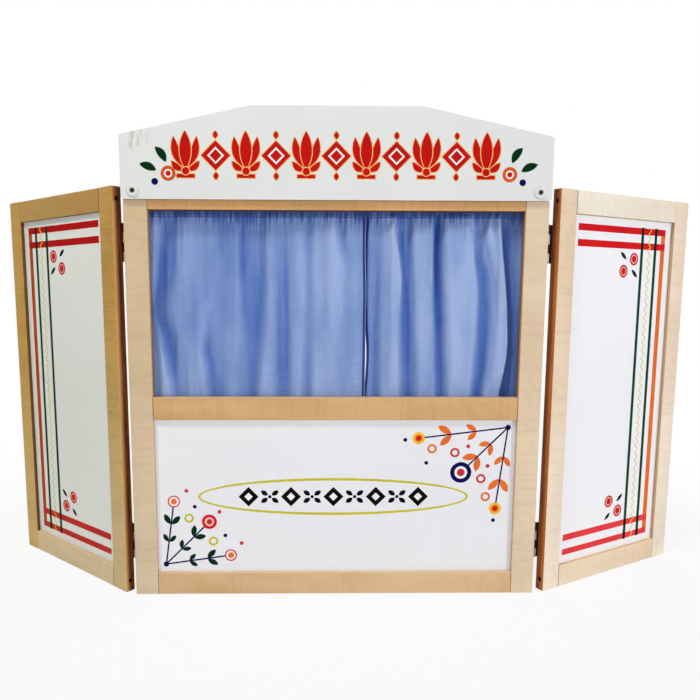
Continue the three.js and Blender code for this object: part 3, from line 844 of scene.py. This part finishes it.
def addSpray(bm, facts):
    root, near = facts["root"], panelPrint["stemFrom"]
    length, width = facts["leaf"]
    turn = panelPrint["leafTurn"]
    addDisc(bm, *root, panelPrint["knot"], "navy", 1)
    for angle, reach, radii, tones in facts["stems"]:
        flower = polar(root, reach, angle)
        addStrip(bm, [polar(root, near, angle), flower], panelPrint["stemWidth"], "navy")
        for share, size in panelPrint["leafPairs"]:
            joint = polar(root, reach * share, angle)
            sides = (angle - turn, angle + turn)
            addFan(bm, joint, near, length * size, sides, width * size, facts["leafInk"])
        addRosette(bm, *flower, radii, tones, 1)
    for angle, reach, ink in facts["rings"]:
        addRing(bm, *polar(root, reach, angle), *panelPrint["ring"], ink)
    for angle, reach, ink in facts["dots"]:
        addDisc(bm, *polar(root, reach, angle), panelPrint["dotRadius"], ink)


def makePanelPrint():
    facts = panelPrint
    bm = bmesh.new()
    oval = facts["oval"]
    middleX, middleZ = oval["middle"]
    addOval(bm, middleX, middleZ, *oval["reach"], oval["width"], "lime", 0, 96)
    for i in range(facts["rowMotifs"]):
        x = middleX + (i - (facts["rowMotifs"] - 1) / 2) * facts["rowStep"]
        if i % 2 == 0:
            radius, white = facts["lozenge"]
            addDisc(bm, x, middleZ, radius, "black", 0, 4)
            addDisc(bm, x, middleZ, white, "white", 1, 4)
        else:
            addFan(bm, (x, middleZ), *facts["cross"], "black")
            addDisc(bm, x, middleZ, facts["crossBead"], "black")
    for spray in facts["sprays"]:
        addSpray(bm, spray)
    finishPrint("lower_panel_print", bm, facts["face"])


makeHeaderPrint()
makePanelPrint()
for side in sideNames:
    makeWingPrint(side)
print("prints made")


# Curtain: two halves on the rod. Each crease is a path down the cloth of (height, X, Y) in millimetres,
# with small Y towards the front, and the cloth runs smoothly from one crease to the next.
curtain = {
    "rodY": 16.6, "rodZ": 682.0, "seamZ": 671.0, "hemZ": 330.0,
    "pocketRadius": 4.2, "seamHalf": 0.45, "clothThickness": 0.7,
    "columnGap": 3.0, "rowGap": 6.0, "pocketRows": 16,
    # How the folds grow below the seam, and fade round the pocket
    "growWithin": 20.0, "seamShare": 0.45, "roundWithin": 0.25,
    "pucker": 1.5, "puckerGap": 7.4, "puckerFade": 13.0,
    "puckerWander": [(0.45, 19, 1), (0.3, 7.3, 2)],  # reach, length and turns of the swings in its gap
    "puckerDepth": (0.65, 0.35, 31),  # its depth, and how far and how slowly that swings
    "pocketPucker": (0.2, 0.6, 6.0),  # all round the pocket, added at its seam, and how fast that fades
    "pocketRear": 10.0,
    "wrinkles": [(1.5, 24, 150), (0.7, 9, 60)],  # depth, width and length of the small wrinkles
    # How far forward and back the cloth may come: behind the rail and stiles, and in the window
    "railFace": 10.1, "railTop": 362.0, "railEase": 70.0, "stileAt": 319.0, "stileEase": 12.0,
    "windowLimit": 2.0, "rearLimit": 30.0,
    # How long the simulation runs, how far it may move the cloth, and the columns held at an edge
    "frames": 20, "cap": 2.2, "stillColumns": 8,
    # Where the painted shade of the valleys starts and where it is full, in how far back the cloth lies
    "valleyFrom": 5.0, "valleyTo": 25.0,
}
clothSolver = {
    "quality": 6, "mass": 0.15, "tension_stiffness": 12, "compression_stiffness": 12,
    "shear_stiffness": 4, "bending_stiffness": 0.25, "air_damping": 2,
    "shrink_min": -0.01, "vertex_group_mass": "pinned",
}
# The creases of each half, from its left to its right
leftCreases = [
    [(664, -323.4, 13), (650, -326.5, 12), (560, -326.5, 13),
     (515, -326.5, 18), (470, -326.5, 14), (330, -326.5, 14)],
    [(664, -314, 10), (610, -316, 10), (550, -320, 14), (515, -322.5, 17),
     (480, -319, 15), (445, -311, 10), (378, -301, 9), (330, -298, 9)],
    [(664, -292, 20), (639, -295, 21), (600, -303, 22), (564, -311, 21), (532, -317, 20),
     (499, -314, 20), (456, -299, 21), (410, -289, 20), (375, -284, 18), (330, -279, 18)],
    [(664, -258, 11), (607, -262, 11), (560, -272, 11), (510, -280, 11),
     (456, -266, 11), (400, -254, 10), (330, -250, 10)],
    [(664, -238, 13), (600, -236, 13), (500, -250, 12.5), (440, -256, 10), (330, -246, 9)],
    [(664, -218, 12), (610, -214, 12), (550, -218, 12), (500, -232, 11),
     (445, -244, 9), (412, -237, 8), (330, -238, 9)],
    [(664, -196, 15), (610, -194, 15), (550, -198, 15), (500, -209, 17),
     (445, -226, 19), (412, -220, 19), (330, -216, 19)],
    [(664, -178, 12), (550, -176, 12), (440, -194, 13), (330, -188, 13)],
    [(664, -160, 19), (600, -158, 19), (500, -158, 17), (400, -168, 17), (330, -170, 18)],
    [(664, -134, 20), (600, -134, 19), (500, -140, 18), (400, -150, 18), (330, -152, 19)],
    [(664, -112, 11), (600, -113, 10), (500, -118, 9), (400, -128, 9), (330, -134, 9)],
    [(664, -88, 13), (560, -92, 15), (450, -99, 18), (330, -106, 18)],
    [(664, -60, 10), (500, -61, 9), (400, -66, 10), (330, -70, 9)],
    [(664, -50, 13), (500, -50, 12), (400, -52, 15), (330, -52, 16)],
    [(664, -38, 9), (500, -36, 9), (330, -34, 8)],
    [(664, -24, 12), (560, -22, 11), (440, -20, 10), (330, -20, 12)],
    [(664, -8, 8), (600, -6, 8), (500, -6, 8), (330, -8, 9)],
    [(664, 5, 16), (630, 10, 15), (598, 16, 12), (540, 20, 10), (440, 14, 10), (330, 10, 11)],
    [(664, 20, 9), (598, 30, 9), (500, 33, 9), (330, 30, 8)],
    [(664, 50.9, 14), (645, 50.2, 12.5), (608, 50.2, 12), (544, 52, 12),
     (500, 51.6, 12), (434, 51.8, 12), (367, 51, 12), (330, 50.5, 12)],
]
rightCreases = [
    [(664, 51.1, 17), (654, 50.4, 18), (635, 49, 18.5), (540, 48.6, 18.5), (494, 50.6, 18.5),
     (440, 53.8, 18.5), (390, 52, 18.5), (360, 49, 18.5), (330, 48.5, 18.5)],
    [(664, 58, 13), (600, 60, 14), (500, 58, 16), (400, 60, 18), (330, 60, 18)],
    [(664, 68, 17), (630, 70, 14), (560, 70, 15), (480, 68, 18), (400, 68, 20), (330, 70, 20)],
    [(664, 82, 11), (600, 85, 10), (500, 84, 11), (400, 86, 12), (330, 88, 11)],
    [(664, 96, 5), (630, 101, 5), (602, 108, 5), (560, 112, 7), (500, 107, 8), (330, 104, 8)],
    [(664, 109, 20), (630, 113, 22), (604, 117, 22), (560, 121, 21), (500, 126, 20), (330, 130, 20)],
    [(664, 123, 22), (630, 125, 22), (600, 128, 20), (540, 132, 18), (400, 134, 18), (330, 136, 18)],
    [(664, 138, 11), (630, 139, 10), (600, 143, 9), (500, 149, 9), (330, 154, 9)],
    [(664, 163, 9), (600, 165, 9), (500, 168, 11), (330, 173, 11)],
    [(664, 173, 26), (630, 174.5, 26), (600, 176, 25), (500, 182, 22), (330, 190, 20)],
    [(664, 190, 7), (600, 194, 6), (500, 202, 6), (440, 206, 6), (330, 212, 8)],
    [(664, 230, 9), (641, 226, 9), (592, 238, 9), (545, 244, 8),
     (457, 240, 8), (413, 234, 8), (330, 226, 9)],
    [(664, 240, 16), (631, 240, 18), (600, 249, 19), (577, 256, 20),
     (523, 261, 20), (413, 262, 21), (368, 254, 22), (330, 250, 22)],
    [(664, 256, 15), (635, 253, 14), (609, 264, 14), (566, 276, 13),
     (501, 281, 12), (435, 275, 11), (368, 267, 10), (330, 262, 9)],
    [(664, 264, 6), (640, 262, 6), (600, 272, 8), (560, 285, 8),
     (501, 290, 7), (435, 284, 7), (368, 275, 6), (330, 270, 6)],
    [(664, 270, 12), (640, 274, 9), (600, 281, 7), (540, 293, 7),
     (480, 296, 7), (400, 290, 6.5), (330, 277, 6)],
    [(664, 280, 3.5), (642, 284, 3.5), (610, 288, 4), (567, 294, 4),
     (501, 300, 4), (435, 301, 4), (368, 289, 5), (330, 284, 6)],
    [(664, 287, 20), (642, 291, 22), (610, 295, 23), (567, 300, 23),
     (501, 306, 23), (435, 307, 23), (368, 296, 23), (330, 291, 23)],
    [(664, 323.4, 15), (650, 326.5, 15), (560, 326.5, 15), (450, 326.5, 18), (330, 326.5, 19)],
]
halves = {
    "left": {
        "outer": -323.4, "inner": 49.0, "travel": 260.0, "flat": (0.40, 0.378), "phase": 0.7,
        "creases": leftCreases,
    },
    "right": {
        "outer": 323.4, "inner": 51.0, "travel": 165.0, "flat": (0.30, 0.378), "phase": 2.1,
        "creases": rightCreases,
    },
}


def smoothStep(low, high, value):
    share = min(max((value - low) / (high - low), 0), 1)
    return share * share * (3 - 2 * share)


def alongPath(path, z):
    z = min(max(z, path[-1][0]), path[0][0])
    k = max(i for i in range(len(path) - 1) if path[i][0] >= z)
    before, first, last, after = path[max(k - 1, 0)], path[k], path[k + 1], path[min(k + 2, len(path) - 1)]
    span = first[0] - last[0]
    t = (first[0] - z) / span
    place = []
    for axis in (1, 2):
        leave = (last[axis] - before[axis]) / (before[0] - last[0]) * span
        arrive = (after[axis] - first[axis]) / (first[0] - after[0]) * span
        value = (2 * t**3 - 3 * t**2 + 1) * first[axis] + (t**3 - 2 * t**2 + t) * leave
        place.append(value + (3 * t**2 - 2 * t**3) * last[axis] + (t**3 - t**2) * arrive)
    return tuple(place)


def foldAt(spots, x):
    for (x0, y0), (x1, y1) in zip(spots, spots[1:]):
        if x <= x1:
            return y0 + (y1 - y0) * smoothStep(x0, x1, x)
    return spots[-1][1]


def wrinkleAt(x, z, phase):
    total = 0.0
    for depth, width, length in curtain["wrinkles"]:
        total += depth * noise.noise(Vector((x / width, z / length, phase)))
    return total


def puckerAt(x, phase):
    swing = x / curtain["puckerGap"]
    for reach, length, turns in curtain["puckerWander"]:
        swing += reach * math.sin(x / length + turns * phase)
    low, reach, length = curtain["puckerDepth"]
    return math.sin(2 * math.pi * swing) * (low + reach * math.sin(x / length + phase))


def puckerHold(below, pocketLength):
    if below > 0:
        return math.exp(-below / curtain["puckerFade"])
    everywhere, atSeam, fade = curtain["pocketPucker"]
    behind = -below > pocketLength - curtain["pocketRear"]
    return everywhere + atSeam * math.exp(-(pocketLength + below if behind else -below) / fade)


# From the seam up one side of the rod, round it and down to the seam again
def pocketPlace(share):
    radius, drop, seamHalf = curtain["pocketRadius"], curtain["rodZ"] - curtain["seamZ"], curtain["seamHalf"]
    opening = math.acos(radius / drop)  # between straight down and where the cloth meets the round
    straight = math.sqrt(drop**2 - radius**2)
    run = 2 * min(share, 1 - share) * (straight + radius * (math.pi - opening))
    angle = opening + max(run - straight, 0) / radius
    part = min(run / straight, 1)
    side = -1 if share < 0.5 else 1
    y = seamHalf + (radius * math.sin(angle) - seamHalf) * part
    return side * y, -drop + (drop - radius * math.cos(angle)) * part


def frontLimit(x, z):
    clear = smoothStep(curtain["railTop"], curtain["railTop"] + curtain["railEase"], z)
    clear *= 1 - smoothStep(curtain["stileAt"] - curtain["stileEase"], curtain["stileAt"], abs(x))
    return curtain["railFace"] + (curtain["windowLimit"] - curtain["railFace"]) * clear


def simulate(piece, pinned):
    group = piece.vertex_groups.new(name="pinned")
    group.add(pinned, 1, "REPLACE")
    cloth = piece.modifiers.new("cloth", "CLOTH")
    setAll(cloth.settings, clothSolver)
    cloth.collision_settings.use_collision = False
    cloth.collision_settings.use_self_collision = False
    cloth.point_cache.frame_start = 1
    cloth.point_cache.frame_end = curtain["frames"]
    for number in range(1, curtain["frames"] + 1):
        bpy.context.scene.frame_set(number)
    shaped = piece.evaluated_get(bpy.context.evaluated_depsgraph_get()).data
    places = [vert.co / mm for vert in shaped.vertices]
    piece.modifiers.remove(cloth)
    piece.vertex_groups.remove(group)
    bpy.context.scene.frame_set(1)
    return places


def makeCurtainHalf(sideName, material):
    facts = halves[sideName]
    flatWidth, flatHeight = facts["flat"]
    hang = curtain["seamZ"] - curtain["hemZ"]
    pocketLength = flatHeight / mm - hang
    width = abs(facts["inner"] - facts["outer"])
    columns = round(width / curtain["columnGap"])
    hangRows = round(hang / curtain["rowGap"])
    rows = hangRows + curtain["pocketRows"]
    heights = [curtain["hemZ"] + hang * j / hangRows for j in range(hangRows + 1)]
    spotsAt = [[alongPath(crease, z) for crease in facts["creases"]] for z in heights]
    seamY, seamShare = curtain["rodY"] - curtain["seamHalf"], curtain["seamShare"]
    bm = bmesh.new()
    bmesh.ops.create_grid(bm, x_segments=columns, y_segments=rows, size=0.5)
    uv = bm.loops.layers.uv.new("cloth")
    cells = []
    for vert in bm.verts:
        i, j = round((vert.co.x + 0.5) * columns), round((vert.co.y + 0.5) * rows)
        cells.append((i, j))
        share = (j - hangRows) / curtain["pocketRows"]
        height = hang + share * pocketLength if share > 0 else hang * j / hangRows
        for loop in vert.link_loops:
            loop[uv].uv = (flatWidth * i / columns, height * mm)
        spots = spotsAt[min(j, hangRows)]
        x = spots[0][0] + (spots[-1][0] - spots[0][0]) * i / columns
        lean = foldAt(spots, x) - seamY
        if share > 0:
            y, z = pocketPlace(share)
            y += lean * seamShare * (1 - smoothStep(0, curtain["roundWithin"], min(share, 1 - share)))
            vert.co = Vector((x, curtain["rodY"] + y, curtain["rodZ"] + z)) * mm
        else:
            z = heights[j]
            grow = smoothStep(0, curtain["growWithin"], curtain["seamZ"] - z)
            y = seamY + lean * (seamShare + (1 - seamShare) * grow) + wrinkleAt(x, z, facts["phase"]) * grow
            vert.co = Vector((x, max(y, frontLimit(x, z)), z)) * mm
    mesh = bpy.data.meshes.new(sideName + "_curtain_cloth")
    bm.to_mesh(mesh)
    piece = addObject(sideName + "_curtain_cloth", mesh)
    start = [vert.co / mm for vert in bm.verts]
    moved = simulate(piece, [k for k, (i, j) in enumerate(cells) if j >= hangRows])
    for vert, (i, j), before, after in zip(bm.verts, cells, start, moved):
        if j < hangRows:
            shift = after - before
            fromEdge = min(i, columns - i) / curtain["stillColumns"]
            place = before + shift * min(1, curtain["cap"] / max(shift.length, 0.001), fromEdge)
            y = min(max(place.y, frontLimit(place.x, place.z)), curtain["rearLimit"])
            vert.co = Vector((place.x, y, before.z)) * mm
    bmesh.ops.subdivide_edges(bm, edges=bm.edges[:], cuts=1, use_grid_fill=True)
    bmesh.ops.smooth_vert(bm, verts=bm.verts, factor=0.5, use_axis_x=False, use_axis_y=True, use_axis_z=False)
    # Painted shade and highlight: a cloth point's tone darkens the further back it lies, into the valleys
    valley = bm.verts.layers.float.new("valley")
    for vert in bm.verts:
        vert[valley] = smoothStep(curtain["valleyFrom"], curtain["valleyTo"], vert.co.y / mm)
        hold = puckerHold(hang - vert.link_loops[0][uv].uv[1] / mm, pocketLength)
        vert.co.y += puckerAt(vert.co.x / mm, facts["phase"]) * hold * curtain["pucker"] * mm
    for face in bm.faces:
        face.smooth = True
    bmesh.ops.recalc_face_normals(bm, faces=bm.faces)
    print(sideName, "curtain cloth area", round(sum(face.calc_area() for face in bm.faces), 4))
    bm.to_mesh(mesh)
    bm.free()
    mesh.materials.append(material)
    solid = piece.modifiers.new("cloth thickness", "SOLIDIFY")
    setAll(solid, {"thickness": curtain["clothThickness"] * mm, "offset": 0})
    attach(piece, sideName + "_curtain_half")
    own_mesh(piece)
    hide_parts(sideName + "_curtain")


clothFinish = {
    "surface": {"Roughness": 0.45, "Specular_IOR_Level": 0.2, "Sheen_Weight": 0.12, "Sheen_Roughness": 0.4},
    "ridgeHighlightTone": (156, 178, 226), "tone": (120, 147, 204), "valleyShadeTone": (64, 100, 178),
    "seamAndShadeTone": (36, 52, 120), "pocketShadowTone": (36, 52, 112), "thread": 0.42 * mm,
    "edgeLine": (1.4 * mm, 5.2 * mm), "hem": 14 * mm, "seamAt": 341 * mm,
    "gatherRun": 18 * mm,
}


def makeClothFinish(sideName):
    facts = clothFinish
    material = startMaterial(sideName + " curtain cloth", **facts["surface"])
    place = addNode("UVMap", uv_map="cloth").outputs[0]
    across, upward = splitPlace(place)[:2]
    turns = 2 * math.pi / facts["thread"]
    weave = times(calc("SINE", times(across, turns)), calc("SINE", times(upward, turns)), 0.3)
    slub = times(speckle(place, (1500, 30, 1), 2.0), 0.5)
    threads = plus(slub, times(speckle(place, (30, 1500, 1), 2.0), 0.5))
    depth = plus(
        addNode("Attribute", attribute_name="valley").outputs["Fac"],
        rescale(speckle(place, (14, 5, 1)), 0.3, 0.7, -0.12, 0.16),
        rescale(threads, 0.3, 0.7, -0.1, 0.1),
    )
    # The sewn pocket for the rod: painted shadow of the top rail over it, and painted shade in the small
    # gathers either side of its seam
    gathers = speckle(place, (170, 10, 1), 2.0)
    above = calc("SUBTRACT", upward, facts["seamAt"])
    nearSeam = rescale(above, -facts["gatherRun"], 0.0, 0.0, 0.6)
    depth = plus(depth, times(nearSeam, rescale(gathers, 0.42, 0.62, 0.0, 0.7)))
    inPocket = rescale(above, -0.5 * mm, 0.5 * mm)
    depth = calc("MAXIMUM", depth, times(inPocket, rescale(gathers, 0.3, 0.7, 0.45, 1.0)))
    # Painted highlight on the ridges and painted shade in the valleys and gathers
    tone = blend(rescale(depth, 0.0, 0.45), facts["ridgeHighlightTone"], facts["tone"])
    tone = blend(rescale(depth, 0.35, 1.0), tone, facts["valleyShadeTone"])
    # Painted shadow of the top rail on the pocket
    shaded = rescale(above, -2 * mm, 5 * mm, 0.0, 0.9)
    shaded = times(shaded, rescale(gathers, 0.3, 0.7, 0.65, 1.0))
    tone = blend(shaded, tone, facts["pocketShadowTone"])
    # The turned edge where the halves meet, darkened as painted shade, and the darker hem and sewn seam
    leading = calc("SUBTRACT", halves[sideName]["flat"][0], across) if sideName == "left" else across
    low, high = facts["edgeLine"]
    turned = rescale(leading, low - 0.4 * mm, low)
    turned = times(turned, rescale(leading, high, high + 0.6 * mm, 1.0, 0.0))
    hemmed = rescale(upward, facts["hem"], facts["hem"] + 0.5 * mm, 0.45, 0.0)
    sewn = rescale(calc("ABSOLUTE", above), 0.6 * mm, 1.8 * mm, 0.62, 0.0)
    double = calc("MAXIMUM", calc("MAXIMUM", turned, hemmed), sewn)
    feed("Base Color", blend(double, tone, facts["seamAndShadeTone"]))
    addBump(plus(weave, threads, double), 0.09 * mm, 0.6)
    return material


for sideName in halves:
    makeCurtainHalf(sideName, makeClothFinish(sideName))
print("curtain hung")


# Studio: a pale floor, soft lamps, and a white surround for the camera and for reflections
studio = {
    "ambient": {"Color": (0.99, 1.0, 1.0, 1), "Strength": 0.22},
    "white": {"Color": (1, 1, 1, 1), "Strength": 1.0},
    "floorTone": (244, 244, 244), "floorShade": 4, "floorReach": 9,
    "floorDrop": 0.2 * mm, "floorFade": (0.7, 1.6, 0.86, 1.0),
    "lamps": {  # place, size, power and tone
        "key": ((5.0, -3.9, 1.2), 1.8, 152, (1.0, 0.985, 0.985)),
        "fill": ((-1.5, -1.5, 3.3), 0.45, 56, (1.0, 0.95, 0.83)),
        "top": ((0.4, -1.3, 3.2), 0.9, 6, (1, 1, 1)),
        "bounce": ((0.0, -2.0, 0.1), 1.4, 9.5, (1, 1, 1)),
        "rear": ((0.4, 2.2, 1.9), 1.6, 22, (1, 1, 1)),
    },
    "aim": (0, 0, 0.42),
}


def makeLamps():
    for name, (place, size, power, tone) in studio["lamps"].items():
        lamp = bpy.data.lights.new(name, "AREA")
        setAll(lamp, {"size": size, "energy": power, "color": tone})
        turn = (Vector(place) - Vector(studio["aim"])).to_track_quat("Z", "Y").to_matrix().to_4x4()
        addObject(name, lamp).matrix_world = Matrix.Translation(place) @ turn


def makeSurround():
    world = bpy.data.worlds.new("surround")
    bpy.context.scene.world = world
    world.use_nodes = True
    world.node_tree.nodes.clear()
    making["tree"] = world.node_tree
    ambient = addNode("Background", studio["ambient"]).outputs[0]
    white = addNode("Background", studio["white"]).outputs[0]
    light = addNode("LightPath").outputs
    seen = calc("MAXIMUM", light["Is Camera Ray"], light["Is Glossy Ray"])
    seen = calc("MAXIMUM", seen, light["Is Transmission Ray"])
    mixed = addNode("MixShader", {0: seen, 1: ambient, 2: white})
    addNode("OutputWorld", {0: mixed.outputs[0]})


def makeFloor():
    bm = bmesh.new()
    bmesh.ops.create_grid(bm, x_segments=1, y_segments=1, size=studio["floorReach"])
    bmesh.ops.translate(bm, vec=(0, 0, -studio["floorDrop"]), verts=bm.verts)
    material = startMaterial("floor", Roughness=0.9, Specular_IOR_Level=0.1)
    place = objectPlace()
    tone = studio["floorTone"]
    deep = tuple(value - studio["floorShade"] for value in tone)
    feed("Base Color", blend(evenSpeckle(place, 60), tone, deep))
    reach = addNode("VectorMath", {0: place}, operation="LENGTH").outputs["Value"]
    seen = addNode("LightPath").outputs["Is Camera Ray"]
    share = times(rescale(reach, *studio["floorFade"]), seen)
    glow = addNode("Emission", studio["white"]).outputs[0]
    mixed = addNode("MixShader", {0: share, 1: principled().outputs[0], 2: glow})
    making["tree"].links.new(mixed.outputs[0], material.node_tree.nodes["Material Output"].inputs[0])
    finishPiece("floor", bm, [material])


makeLamps()
makeSurround()
makeFloor()
bpy.context.scene.view_settings.view_transform = "Standard"
print("studio lit")
